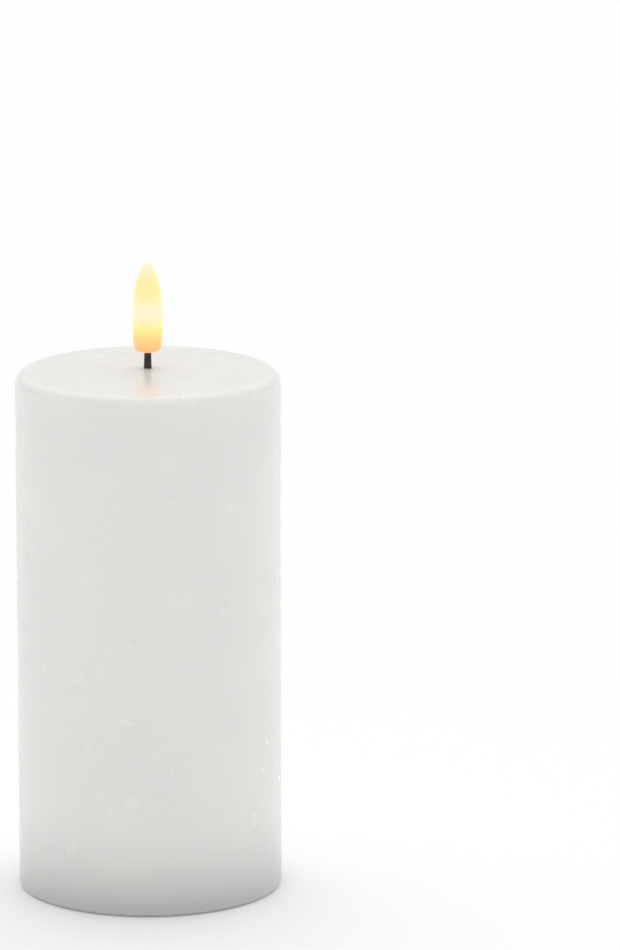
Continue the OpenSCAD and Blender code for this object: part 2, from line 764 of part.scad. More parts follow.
// The snap tongue: up from the door, over a bend, and down to a barb and a finger edge
module snap_tongue() {
    outer = (latch_in_x - latch_out_x + latch_t) / 2;
    rotate([90, 0, 0]) linear_extrude(height = latch_w, center = true) {
        translate([latch_in_x - latch_t / 2, base_recess + door_t - eps])
            square([latch_t, latch_top - base_recess - door_t + 2 * eps]);
        translate([(latch_in_x + latch_out_x) / 2, latch_top]) difference() {
            circle(r = outer);
            circle(r = outer - latch_t);
            translate([-outer - 1, -outer - 1]) square([2 * outer + 2, outer + 1]);
        }
        translate([latch_out_x - latch_t / 2, base_recess + 0.1])
            square([latch_t, latch_top - base_recess - 0.1 + eps]);
        translate([latch_out_x - latch_t / 2, floor_z + 0.2])
            polygon([[eps, 0], [-barb, 0], [eps, 1.2]]);
    }
}

// Door: a plate, the rolled edge with its pins, a rib between the cells and three grip ribs
module battery_door() color("white") {
    difference() {
        translate([0, 0, base_recess]) linear_extrude(height = door_t) door_outline(0, 0);
        block([door_end - 1, -latch_w / 2 - 0.3, 0], [latch_in_x - latch_t / 2, latch_w / 2 + 0.3, floor_z]);
    }
    block([hinge_x - hinge_web - 1, -hinge_half, base_recess], [hinge_x, hinge_half, base_recess + door_t]);
    bar_y(hinge_x, hinge_z, hinge_r, hinge_half);
    bar_y(hinge_x, hinge_z, hinge_pin_r, hinge_half + hinge_pin_l);
    block([grip_x, -door_rib_t / 2, base_recess + door_t - eps], [hinge_x - 4.4, door_rib_t / 2, cell_z - 5]);
    for (i = [0:2]) translate([grip_x + grip_pitch * i, 0, base_recess])
        block([0, -grip_l / 2, -0.4], [grip_w, grip_l / 2, eps]);
    snap_tongue();
}

// Two strips of foam that keep the cells from rattling
module door_foam() color("dimgray") for (s = [-1, 1]) translate([0, s * cell_y, 0])
    block([-foam_l / 2, -foam_w / 2, base_recess + door_t], [foam_l / 2, foam_w / 2, cell_z - cell_r - 0.2]);

// ---------------------------------------------------------------- nodes

wax_shell();
flame_diffuser();
flame_plug();
flame_board();
flame_leds();
wick_sleeve();
wick_bush();
flame_lead_red();
flame_lead_black();
base_housing();
adhesive_band();
cover_plate();
cover_screws();
control_board();
board_screws();
timer_chip();
chip_leads();
timer_crystal();
chip_resistors();
smoothing_capacitor();
solder_joints();
switch_can();
switch_base();
switch_pins();
switch_actuator();
switch_knob();
cell_a();
cell_b();
cell_sleeve_a();
cell_sleeve_b();
positive_contact();
negative_contact();
negative_spring();
bridge_contact();
bridge_spring();
battery_lead_red();
battery_lead_black();
battery_door();
door_foam();
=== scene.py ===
"""Looks of a flameless LED pillar candle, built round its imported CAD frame.

The candle is a hollow pillar of cast wax with a glowing moulded flame on a wick, and a module
with two AA cells, a battery door and a slide switch in its base. Sizes are in millimetres in the
classes and in metres in the meshes. +Z is up and the candle stands on z = 0.
"""

import functools
import logging
import math
from dataclasses import dataclass
from enum import Enum
from typing import Any

import bmesh
import bpy
from mathutils import Matrix, Vector, noise


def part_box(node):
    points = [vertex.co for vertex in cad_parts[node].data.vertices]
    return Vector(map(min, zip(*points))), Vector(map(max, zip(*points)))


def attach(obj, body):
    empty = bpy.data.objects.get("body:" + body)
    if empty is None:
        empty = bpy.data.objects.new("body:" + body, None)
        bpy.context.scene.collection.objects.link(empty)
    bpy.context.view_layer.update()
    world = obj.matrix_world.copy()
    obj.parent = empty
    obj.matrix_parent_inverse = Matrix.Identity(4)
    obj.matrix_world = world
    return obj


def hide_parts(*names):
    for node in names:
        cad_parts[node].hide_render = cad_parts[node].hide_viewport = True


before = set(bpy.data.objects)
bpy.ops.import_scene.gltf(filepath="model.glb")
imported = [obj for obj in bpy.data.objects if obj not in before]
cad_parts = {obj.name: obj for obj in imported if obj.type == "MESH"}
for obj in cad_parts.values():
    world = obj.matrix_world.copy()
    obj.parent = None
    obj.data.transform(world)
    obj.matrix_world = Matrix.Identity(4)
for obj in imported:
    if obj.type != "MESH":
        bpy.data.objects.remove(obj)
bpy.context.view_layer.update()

MM = 0.001
MIX_A, MIX_B, MIX_RESULT = 6, 7, 2
log = logging.getLogger("candle")

Colour = tuple[float, float, float, float]
Profile = list[tuple[float, float]]


class Body(Enum):
    """The CAD bodies that pieces ride on."""

    CANDLE = "candle"
    DOOR = "door"
    SWITCH = "switch"


class NubEnd(Enum):
    """The end of the battery bay that a cell's positive nub points to."""

    LEFT = -1
    RIGHT = 1


# ---------------------------------------------------------------- helpers


def linear(code: str) -> Colour:
    """Turns an sRGB hex colour into linear light.

    Args:
        code: colour such as "#EBE9E6".

    Returns:
        Red, green, blue and alpha, each from 0 to 1.
    """
    shares = [int(code[i : i + 2], 16) / 255 for i in (1, 3, 5)]
    lit = [s / 12.92 if s <= 0.04045 else ((s + 0.055) / 1.055) ** 2.4 for s in shares]
    return (lit[0], lit[1], lit[2], 1.0)


def add_node(
    tree: bpy.types.NodeTree, kind: str, inputs: dict[Any, Any] | None = None, **settings: Any,
) -> bpy.types.Node:
    """Adds a node with its settings, and sets or links its inputs.

    Args:
        tree: node tree that gets the node.
        kind: Blender's name of the node's type.
        inputs: input name or number to a value, or to the output that it is linked from.
        **settings: properties of the node.

    Returns:
        The new node.
    """
    node = tree.nodes.new(kind)
    for key, value in settings.items():
        setattr(node, key, value)
    for key, value in (inputs or {}).items():
        socket = node.inputs[key]
        if isinstance(value, bpy.types.NodeSocket):
            tree.links.new(value, socket)
        else:
            socket.default_value = value
    return node


def set_ramp(ramp: bpy.types.ColorRamp, stops: list[tuple[float, Colour]]) -> None:
    """Gives a colour ramp its stops.

    Args:
        ramp: ramp with the two elements that it starts with.
        stops: position and colour of each stop, in order.
    """
    for _ in stops[2:]:
        ramp.elements.new(1.0)
    for element, (position, colour) in zip(ramp.elements, stops, strict=True):
        element.position = position
        element.color = colour


def per_metre(size: float) -> float:
    """Gives the pattern scale that makes one feature as large as a size in millimetres."""
    return 1 / (size * MM)


def arc(centre: tuple[float, float], radius: float, start: float, end: float, steps: int) -> Profile:
    """Gives points of an arc in a profile.

    Args:
        centre: radius and height of the arc's centre.
        radius: radius of the arc.
        start: first angle in degrees.
        end: last angle in degrees.
        steps: number of straight steps.

    Returns:
        The arc's points.
    """
    angles = [math.radians(start + (end - start) * i / steps) for i in range(steps + 1)]
    return [(centre[0] + radius * math.cos(a), centre[1] + radius * math.sin(a)) for a in angles]


def turned(profile: Profile, steps: int, closed: bool) -> bmesh.types.BMesh:
    """Spins a profile once round the upright axis.

    Args:
        profile: radius and height of each point, in millimetres.
        steps: number of sides of the full turn.
        closed: whether the last point joins the first.

    Returns:
        The turned mesh in metres, with its faces pointing outwards.
    """
    mesh = bmesh.new()
    points = [mesh.verts.new((r * MM, 0, z * MM)) for r, z in profile]
    ends = points[1:] + points[:1] if closed else points[1:]
    edges = [mesh.edges.new(pair) for pair in zip(points, ends, strict=False)]
    bmesh.ops.spin(
        mesh, geom=points + edges, cent=(0, 0, 0), axis=(0, 0, 1), dvec=(0, 0, 0),
        angle=math.tau, steps=steps, use_merge=True, use_duplicate=False,
    )
    bmesh.ops.remove_doubles(mesh, verts=mesh.verts, dist=0.002 * MM)
    bmesh.ops.recalc_face_normals(mesh, faces=mesh.faces)
    return mesh


def softened(node: str, edge: float) -> bmesh.types.BMesh:
    """Copies a CAD node's mesh and rounds its sharp edges.

    Args:
        node: name of the CAD node.
        edge: width of the rounding in millimetres.

    Returns:
        The merged and rounded copy.
    """
    mesh = bmesh.new()
    mesh.from_mesh(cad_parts[node].data)
    bmesh.ops.remove_doubles(mesh, verts=mesh.verts, dist=0.001 * MM)
    bmesh.ops.dissolve_limit(mesh, angle_limit=math.radians(1), verts=mesh.verts, edges=mesh.edges)
    sharp = [e for e in mesh.edges if len(e.link_faces) == 2 and e.calc_face_angle() > math.radians(35)]
    bmesh.ops.bevel(
        mesh, geom=sharp, affect="EDGES", offset=edge * MM, segments=2, profile=0.5,
        material=-1, clamp_overlap=True,
    )
    return mesh


def make_piece(
    name: str, mesh: bmesh.types.BMesh, material: bpy.types.Material, body: Body,
    nodes: tuple[str, ...], crease: float = 40,
) -> bpy.types.Object:
    """Makes a finished piece of a mesh and ties it to the frame.

    Args:
        name: name of the piece.
        mesh: mesh in metres, which is freed.
        material: material of the whole piece.
        body: body that the piece rides on.
        nodes: CAD nodes that the piece stands for.
        crease: angle in degrees past which an edge stays sharp.

    Returns:
        The piece.
    """
    data = bpy.data.meshes.new(name)
    mesh.to_mesh(data)
    mesh.free()
    data.materials.append(material)
    data.shade_smooth()
    data.set_sharp_from_angle(angle=math.radians(crease))
    piece = bpy.data.objects.new(name, data)
    bpy.context.scene.collection.objects.link(piece)
    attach(piece, body.value)
    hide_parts(*nodes)
    log.info("piece %s stands for %s, %d faces", name, ", ".join(nodes), len(data.polygons))
    return piece


# ---------------------------------------------------------------- finishes


@dataclass(frozen=True)
class Finish:
    """A real material and how its surface was made.

    Attributes:
        name: common name of the material and its making.
        colour: main colour as sRGB hex.
        roughness: roughness of the surface.
        ior: index of refraction; a metal keeps the default.
        metallic: 1 for a metal.
    """

    name: str
    colour: str
    roughness: float
    ior: float = 1.5
    metallic: float = 0.0

    @functools.cache
    def build(self) -> bpy.types.Material:
        """Makes the material.

        Returns:
            The material with this finish's pattern on it.
        """
        material = bpy.data.materials.new(self.name)
        material.use_nodes = True
        tree = material.node_tree
        tree.nodes.clear()
        shader = add_node(tree, "ShaderNodeBsdfPrincipled", {
            "Base Color": linear(self.colour), "Roughness": self.roughness,
            "IOR": self.ior, "Metallic": self.metallic,
        })
        add_node(tree, "ShaderNodeOutputMaterial", {"Surface": shader.outputs[0]})
        place = add_node(tree, "ShaderNodeTexCoord").outputs["Object"]
        self.dress(tree, shader, place)
        return material

    def dress(self, tree: bpy.types.NodeTree, shader: bpy.types.Node, place: bpy.types.NodeSocket) -> None:
        """Adds the finish's own pattern.

        Args:
            tree: the material's node tree.
            shader: its surface shader.
            place: object coordinates in metres.
        """

    def mottle(
        self, tree: bpy.types.NodeTree, shader: bpy.types.Node, place: bpy.types.NodeSocket,
        size: float, other: str, low: float = 0.35, high: float = 0.65,
    ) -> bpy.types.NodeSocket:
        """Lets the colour drift to another one in soft clouds.

        Args:
            tree: the material's node tree.
            shader: its surface shader.
            place: coordinates in metres.
            size: size of a cloud in millimetres.
            other: the other colour as sRGB hex.
            low: noise value with the main colour only.
            high: noise value with the other colour only.

        Returns:
            The mixed colour.
        """
        clouds = add_node(tree, "ShaderNodeTexNoise", {
            "Vector": place, "Scale": per_metre(size), "Detail": 3.0,
        })
        share = add_node(tree, "ShaderNodeMapRange", {
            "Value": clouds.outputs[0], "From Min": low, "From Max": high,
        })
        mixed = add_node(tree, "ShaderNodeMix", {
            0: share.outputs[0], MIX_A: linear(self.colour), MIX_B: linear(other),
        }, data_type="RGBA")
        tree.links.new(mixed.outputs[MIX_RESULT], shader.inputs["Base Color"])
        return mixed.outputs[MIX_RESULT]

    def grain(
        self, tree: bpy.types.NodeTree, shader: bpy.types.Node, place: bpy.types.NodeSocket,
        size: float, depth: float, stretch: tuple[float, float, float] = (1, 1, 1), detail: float = 2.0,
    ) -> bpy.types.Node:
        """Roughens the surface with a fine relief.

        Args:
            tree: the material's node tree.
            shader: its surface shader.
            place: coordinates in metres.
            size: size of a grain in millimetres.
            depth: depth of the relief in millimetres.
            stretch: how much shorter the grain is along each axis.
            detail: number of finer layers.

        Returns:
            The bump node.
        """
        held = add_node(tree, "ShaderNodeMapping", {"Vector": place, "Scale": stretch})
        relief = add_node(tree, "ShaderNodeTexNoise", {
            "Vector": held.outputs[0], "Scale": per_metre(size), "Detail": detail,
        })
        bump = add_node(tree, "ShaderNodeBump", {"Height": relief.outputs[0], "Distance": depth * MM})
        earlier = shader.inputs["Normal"].links
        if earlier:
            tree.links.new(earlier[0].from_socket, bump.inputs["Normal"])
        tree.links.new(bump.outputs[0], shader.inputs["Normal"])
        return bump

    def scuff(
        self, tree: bpy.types.NodeTree, shader: bpy.types.Node, place: bpy.types.NodeSocket,
        size: float, smooth: float, rough: float,
    ) -> None:
        """Varies the gloss in patches, as handling does.

        Args:
            tree: the material's node tree.
            shader: its surface shader.
            place: coordinates in metres.
            size: size of a patch in millimetres.
            smooth: lowest roughness.
            rough: highest roughness.
        """
        patches = add_node(tree, "ShaderNodeTexNoise", {
            "Vector": place, "Scale": per_metre(size), "Detail": 4.0,
        })
        gloss = add_node(tree, "ShaderNodeMapRange", {
            "Value": patches.outputs[0], "From Min": 0.3, "From Max": 0.7, "To Min": smooth, "To Max": rough,
        })
        tree.links.new(gloss.outputs[0], shader.inputs["Roughness"])


@dataclass(frozen=True)
class CastWax(Finish):
    """Paraffin wax poured in a smooth mould: light sinks a few millimetres into it.

    Attributes:
        cool: colour of the paler, cooler bloom.
        foot_shade: colour of the painted shade that darkens the wax towards the floor, in place of the shade
            near the floor.
        foot_shade_to: height in millimetres where that colour has faded out.
        foot_shade_fade: how fast it fades with height.
        depth: distance in millimetres that red light travels in the wax.
        cloud: size in millimetres of a patch of bloom.
    """

    cool: str = "#ECEEEB"
    foot_shade: str = "#BFC2C1"
    foot_shade_to: float = 30.0
    foot_shade_fade: float = 2.2
    depth: float = 3.5
    cloud: float = 24.0

    def dress(self, tree: bpy.types.NodeTree, shader: bpy.types.Node, place: bpy.types.NodeSocket) -> None:
        """Gives soft light, a faint cloudy bloom, a painted shade towards the foot and the shallow ripple of
        cooled wax.
        """
        shader.inputs["Subsurface Weight"].default_value = 1.0
        shader.inputs["Subsurface Radius"].default_value = (1.0, 0.82, 0.66)
        shader.inputs["Subsurface Scale"].default_value = self.depth * MM
        wax = self.mottle(tree, shader, place, self.cloud, self.cool)
        # Painted shade: the base colour darkens towards the floor, strongest at the foot and fading out
        # higher up the wall.
        apart = add_node(tree, "ShaderNodeSeparateXYZ", {"Vector": place})
        foot = add_node(tree, "ShaderNodeMapRange", {
            "Value": apart.outputs["Z"], "From Min": self.foot_shade_to * MM, "From Max": 0.0,
        })
        fade = add_node(tree, "ShaderNodeMath", {0: foot.outputs[0], 1: self.foot_shade_fade}, operation="POWER")
        whole = add_node(tree, "ShaderNodeMix", {
            0: fade.outputs[0], MIX_A: wax, MIX_B: linear(self.foot_shade),
        }, data_type="RGBA")
        tree.links.new(whole.outputs[MIX_RESULT], shader.inputs["Base Color"])
        self.scuff(tree, shader, place, 9, self.roughness - 0.03, self.roughness + 0.05)
        # Cooling ripple 7 mm wide, and a fine skin 0.5 mm wide that breaks the gloss.
        self.grain(tree, shader, place, 7, 0.02, detail=1.0)
        self.grain(tree, shader, place, 0.5, 0.0012)


@dataclass(frozen=True)
class LitDiffuser(Finish):
    """Frosted translucent polypropylene, lit from inside by two LED chips.

    Attributes:
        foot: height of the flame's foot in millimetres.
        height: height of the flame in millimetres.
        reflected: share of the room's light that the frosted skin sends back.
        glare: how far the glow's red passes what the camera can hold, which warms its reflection.
    """

    foot: float = 154.8
    height: float = 26.2
    reflected: float = 0.17
    glare: float = 1.45

    def shown(self) -> list[tuple[float, str]]:
        """Gives the colours that the lit flame shows, by share of its height."""
        return [
            (0.0, "#EBC08C"), (0.06, "#F4CB92"), (0.12, "#FAD594"), (0.17, "#FCE095"), (0.22, "#FCEA9A"),
            (0.28, "#FCF3A6"), (0.34, "#FDF6C0"), (0.41, "#FEF6D3"), (0.48, "#FDF5D5"), (0.54, "#FDF5C8"),
            (0.61, "#FDF4B6"), (0.69, "#FDF0AE"), (0.79, "#FDF2B3"), (0.86, "#FBF5C6"), (0.93, "#FBF7D6"),
            (1.0, "#FAFAEC"),
        ]

    def dress(self, tree: bpy.types.NodeTree, shader: bpy.types.Node, place: bpy.types.NodeSocket) -> None:
        """Gives the glow: amber at the foot, cream round the chips, pale at the tip."""
        apart = add_node(tree, "ShaderNodeSeparateXYZ", {"Vector": place})
        share = add_node(tree, "ShaderNodeMapRange", {
            "Value": apart.outputs["Z"],
            "From Min": self.foot * MM, "From Max": (self.foot + self.height) * MM,
        })
        glow = add_node(tree, "ShaderNodeValToRGB", {"Fac": share.outputs[0]})
        stops = []
        for position, code in self.shown():
            red, green, blue, alpha = linear(code)
            own = [max(light - self.reflected, 0) for light in (red, green, blue)]
            stops.append((position, (own[0] * self.glare, own[1], own[2], alpha)))
        set_ramp(glow.color_ramp, stops)
        tree.links.new(glow.outputs[0], shader.inputs["Emission Color"])
        shader.inputs["Emission Strength"].default_value = 1.0
        shader.inputs["Sheen Weight"].default_value = 0.6
        shader.inputs["Sheen Roughness"].default_value = 0.4
        # The frosted skin's grain is 0.25 mm wide.
        self.grain(tree, shader, place, 0.25, 0.003)


@dataclass(frozen=True)
class WaxedYarn(Finish):
    """Cotton yarn twisted round a tube and dipped in dark wax: a dull strand with a few worn lights.

    Attributes:
        worn: colour of the yarn's crests.
    """

    worn: str = "#5A4636"

    def dress(self, tree: bpy.types.NodeTree, shader: bpy.types.Node, place: bpy.types.NodeSocket) -> None:
        """Gives browner crests and 0.12 mm fibres along the strand."""
        self.mottle(tree, shader, place, 0.5, self.worn, 0.45, 0.75)
        self.grain(tree, shader, place, 0.12, 0.02, stretch=(1, 1, 0.25), detail=3.0)


@dataclass(frozen=True)
class SparkMouldedABS(Finish):
    """ABS from a spark-eroded mould: an even, dull orange-peel that hides fingerprints.

    Attributes:
        texture: width of the spark texture in millimetres.
        handled: colour of the places that hands have touched.
    """

    texture: float = 0.22
    handled: str = "#E6E4DC"

    def dress(self, tree: bpy.types.NodeTree, shader: bpy.types.Node, place: bpy.types.NodeSocket) -> None:
        """Gives the spark texture, faint sink marks and slightly yellowed patches."""
        self.mottle(tree, shader, place, 16, self.handled, 0.45, 0.8)
        self.scuff(tree, shader, place, 5, self.roughness - 0.06, self.roughness + 0.08)
        self.grain(tree, shader, place, 12, 0.03, detail=0.0)
        self.grain(tree, shader, place, self.texture, 0.006)


@dataclass(frozen=True)
class MouldedPlastic(Finish):
    """Thermoplastic from a polished or lightly textured mould.

    Attributes:
        flow: colour of the faint flow marks.
        texture: width of the surface grain in millimetres.
    """

    flow: str = "#202024"
    texture: float = 0.3

    def dress(self, tree: bpy.types.NodeTree, shader: bpy.types.Node, place: bpy.types.NodeSocket) -> None:
        """Gives flow marks, small scuffs and a light grain."""
        self.mottle(tree, shader, place, 3, self.flow)
        self.scuff(tree, shader, place, 1.5, self.roughness - 0.08, self.roughness + 0.12)
        self.grain(tree, shader, place, self.texture, 0.004)


@dataclass(frozen=True)
class PlatedMetal(Finish):
    """Steel with a bright plating over drawn or rolled grain.

    Attributes:
        tint: colour of the plating's cloudy places.
        along: axis that the metal was drawn along, as the share of grain on each axis.
        line: width of a drawing line in millimetres.
    """

    metallic: float = 1.0
    tint: str = "#B9BDC6"
    along: tuple[float, float, float] = (0.06, 1, 1)
    line: float = 0.09

    def dress(self, tree: bpy.types.NodeTree, shader: bpy.types.Node, place: bpy.types.NodeSocket) -> None:
        """Gives a tinted cloud, fingermarks in the gloss and fine lines along the metal."""
        self.mottle(tree, shader, place, 2.5, self.tint)
        self.scuff(tree, shader, place, 1.2, self.roughness - 0.07, self.roughness + 0.14)
        self.grain(tree, shader, place, self.line, 0.003, stretch=self.along)


@dataclass(frozen=True)
class PrintedSleeve(Finish):
    """Heat-shrunk PVC film round a cell: a plain field, and a band by the positive end.

    Attributes:
        nub: end of the bay that the positive nub points to.
        band: colour of the band.
        line: colour of the narrow line beside the band.
        band_at: distance in millimetres of the band from the middle of the bay.
        band_w: width of the band in millimetres.
        half_reach: distance in millimetres that the print covers each way from the middle.
    """

    nub: NubEnd = NubEnd.LEFT
    band: str = "#B9773C"
    line: str = "#C9CED2"
    band_at: float = 19.0
    band_w: float = 9.0
    half_reach: float = 30.0

    def dress(self, tree: bpy.types.NodeTree, shader: bpy.types.Node, place: bpy.types.NodeSocket) -> None:
        """Gives the band and its line, a glossy film and its shrink ripples."""
        apart = add_node(tree, "ShaderNodeSeparateXYZ", {"Vector": place})
        reach = add_node(tree, "ShaderNodeMath", {
            0: apart.outputs["X"], 1: self.nub.value / MM,
        }, operation="MULTIPLY")
        share = add_node(tree, "ShaderNodeMapRange", {
            "Value": reach.outputs[0], "From Min": -self.half_reach, "From Max": self.half_reach,
        })
        ramp = add_node(tree, "ShaderNodeValToRGB", {"Fac": share.outputs[0]})
        ramp.color_ramp.interpolation = "CONSTANT"
        low = self.band_at - self.band_w / 2
        field, band, line = linear(self.colour), linear(self.band), linear(self.line)
        marks = [
            (-self.half_reach, field), (low - 1.6, line), (low - 1.1, field), (low, band),
            (low + self.band_w, field),
        ]
        stops = [((x + self.half_reach) / (2 * self.half_reach), colour) for x, colour in marks]
        set_ramp(ramp.color_ramp, stops)
        tree.links.new(ramp.outputs[0], shader.inputs["Base Color"])
        shader.inputs["Coat Weight"].default_value = 0.6
        shader.inputs["Coat Roughness"].default_value = 0.08
        self.scuff(tree, shader, place, 4, 0.2, 0.34)
        self.grain(tree, shader, place, 2.2, 0.012, stretch=(0.3, 1, 1))


@dataclass(frozen=True)
class MaskedBoard(Finish):
    """Glass-epoxy board under solder mask: copper runs stand up under the film.

    Attributes:
        run: colour of the mask over copper.
        pitch: spacing of the copper runs in millimetres.
    """

    run: str = "#2E8A58"
    pitch: float = 1.6

    def dress(self, tree: bpy.types.NodeTree, shader: bpy.types.Node, place: bpy.types.NodeSocket) -> None:
        """Gives paler raised copper runs and the 0.5 mm weave of the glass cloth."""
        cells = add_node(tree, "ShaderNodeTexBrick", {
            "Vector": place, "Scale": per_metre(self.pitch), "Color1": linear(self.run),
            "Color2": linear(self.colour), "Mortar": linear(self.colour), "Mortar Size": 0.16,
            "Brick Width": 2.2, "Row Height": 0.5,
        })
        tree.links.new(cells.outputs["Color"], shader.inputs["Base Color"])
        copper = add_node(tree, "ShaderNodeBump", {"Height": cells.outputs["Color"], "Distance": 0.03 * MM})
        tree.links.new(copper.outputs[0], shader.inputs["Normal"])
        self.grain(tree, shader, place, 0.5, 0.004)
        shader.inputs["Coat Weight"].default_value = 0.5
        shader.inputs["Coat Roughness"].default_value = 0.15


@dataclass(frozen=True)
class LitPhosphor(Finish):
    """Phosphor under a clear silicone dome, lit by the chip below it.

    Attributes:
        glow: colour of its light.
    """

    glow: str = "#FFE2A0"

    def dress(self, tree: bpy.types.NodeTree, shader: bpy.types.Node, place: bpy.types.NodeSocket) -> None:
        """Gives a steady glow and the 0.1 mm grain of the phosphor."""
        shader.inputs["Emission Color"].default_value = linear(self.glow)
        shader.inputs["Emission Strength"].default_value = 3.0
        self.mottle(tree, shader, place, 0.3, "#E8A93A")
        self.grain(tree, shader, place, 0.1, 0.004)


@dataclass(frozen=True)
class PressedPhenolic(Finish):
    """Paper pressed with phenolic resin: a brown sheet with fine layers and fibres.

    Attributes:
        fibre: colour of the paper's fibres.
    """

    fibre: str = "#8A5A34"

    def dress(self, tree: bpy.types.NodeTree, shader: bpy.types.Node, place: bpy.types.NodeSocket) -> None:
        """Gives layers 0.12 mm thick and paler fibres."""
        self.mottle(tree, shader, place, 0.6, self.fibre)
        self.grain(tree, shader, place, 0.12, 0.01, stretch=(0.15, 0.15, 1))


@dataclass(frozen=True)
class HotMelt(Finish):
    """Cast ethylene-vinyl acetate glue: amber, soft light inside, wavy skin."""

    def dress(self, tree: bpy.types.NodeTree, shader: bpy.types.Node, place: bpy.types.NodeSocket) -> None:
        """Gives soft light, cloudy amber and the waves that the nozzle left."""
        shader.inputs["Subsurface Weight"].default_value = 0.6
        shader.inputs["Subsurface Scale"].default_value = 2 * MM
        self.mottle(tree, shader, place, 4, "#D9C489")
        self.grain(tree, shader, place, 2.5, 0.08)


@dataclass(frozen=True)
class CellularFoam(Finish):
    """Closed-cell EVA foam, cut from a sheet: a dull skin of burst 0.4 mm cells."""

    def dress(self, tree: bpy.types.NodeTree, shader: bpy.types.Node, place: bpy.types.NodeSocket) -> None:
        """Gives the open cells in relief, with painted shade that darkens each cell's pit."""
        cells = add_node(tree, "ShaderNodeTexVoronoi", {"Vector": place, "Scale": per_metre(0.4)})
        # Painted shade: the colour is darkest at the middle of each cell, where the relief has its pit.
        mixed = add_node(tree, "ShaderNodeMix", {
            0: cells.outputs["Distance"], MIX_A: linear("#1C1C1E"), MIX_B: linear(self.colour),
        }, data_type="RGBA")
        tree.links.new(mixed.outputs[MIX_RESULT], shader.inputs["Base Color"])
        bump = add_node(tree, "ShaderNodeBump", {"Height": cells.outputs["Distance"], "Distance": 0.12 * MM})
        tree.links.new(bump.outputs[0], shader.inputs["Normal"])


WAX = CastWax("cast paraffin wax", "#F0F0EC", 0.23, 1.44)
LIT_FLAME = LitDiffuser("frosted polypropylene lit from inside", "#77736A", 0.42, 1.49)
WICK_YARN = WaxedYarn("cotton yarn dipped in dark wax", "#2A201A", 0.62, 1.5)
WHITE_ABS = SparkMouldedABS("spark-textured white ABS", "#F0EEE8", 0.46, 1.53)
FLAT_ABS = SparkMouldedABS("fine-textured white ABS", "#EDEBE4", 0.4, 1.53, texture=0.12)
MILKY_PP = MouldedPlastic("natural polypropylene", "#E9E5D8", 0.38, 1.49, flow="#DED8C6")
GREY_KNOB = MouldedPlastic("dark grey moulded ABS", "#34343A", 0.44, 1.53, flow="#2A2A2F")
BLACK_ACETAL = MouldedPlastic("black acetal", "#1A1A1C", 0.33, 1.48, flow="#242428")
EPOXY = MouldedPlastic("black epoxy moulding compound", "#232325", 0.58, 1.55, flow="#1B1B1C", texture=0.08)
RED_PVC = MouldedPlastic("red PVC insulation", "#B01C1A", 0.36, 1.53, flow="#9A1614", texture=0.15)
BLACK_PVC = MouldedPlastic("black PVC insulation", "#161618", 0.36, 1.53, flow="#202022", texture=0.15)
CAPACITOR_FILM = MouldedPlastic("dark blue shrink film", "#141C4A", 0.24, 1.53, flow="#101638", texture=1.2)
ZINC = PlatedMetal("bright zinc on steel", "#C9CBCE", 0.3, tint="#B4BAC8", along=(1, 1, 0.1))
NICKEL = PlatedMetal("nickel on spring steel", "#CDCAC2", 0.24, tint="#BDB7A9")
CAN_NICKEL = PlatedMetal("nickel on a drawn steel can", "#D2D0CB", 0.3, tint="#C0BDB6", along=(0.04, 1, 1))
TIN_SOLDER = PlatedMetal("tin solder, set bright", "#D4D6D8", 0.16, tint="#BFC3C8", along=(1, 1, 1), line=0.4)
PHENOLIC = PressedPhenolic("paper phenolic sheet", "#6A3E1F", 0.5, 1.6)
GREEN_BOARD = MaskedBoard("green solder mask on glass epoxy", "#14653B", 0.3, 1.55)
WHITE_BOARD = MaskedBoard("white solder mask on glass epoxy", "#E9E8E2", 0.3, 1.55, run="#F2F1EC")
PHOSPHOR = LitPhosphor("phosphor under a silicone dome", "#F0C050", 0.2, 1.41)
GLUE = HotMelt("hot-melt glue", "#E6DAB4", 0.25, 1.48)
FOAM = CellularFoam("closed-cell foam", "#3A3A3E", 0.9, 1.5)
SLEEVE_LEFT = PrintedSleeve("printed shrink sleeve, nub left", "#27343C", 0.26, 1.53, nub=NubEnd.LEFT)
SLEEVE_RIGHT = PrintedSleeve("printed shrink sleeve, nub right", "#27343C", 0.26, 1.53, nub=NubEnd.RIGHT)


def dress_nodes(finishes: dict[str, Finish]) -> None:
    """Gives CAD nodes that keep their own shape their finishes.

    Args:
        finishes: node name to finish.
    """
    for node, finish in finishes.items():
        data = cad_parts[node].data
        data.materials.clear()
        data.materials.append(finish.build())
        log.info("node %s is dressed as %s", node, finish.name)


# ---------------------------------------------------------------- sub-assemblies


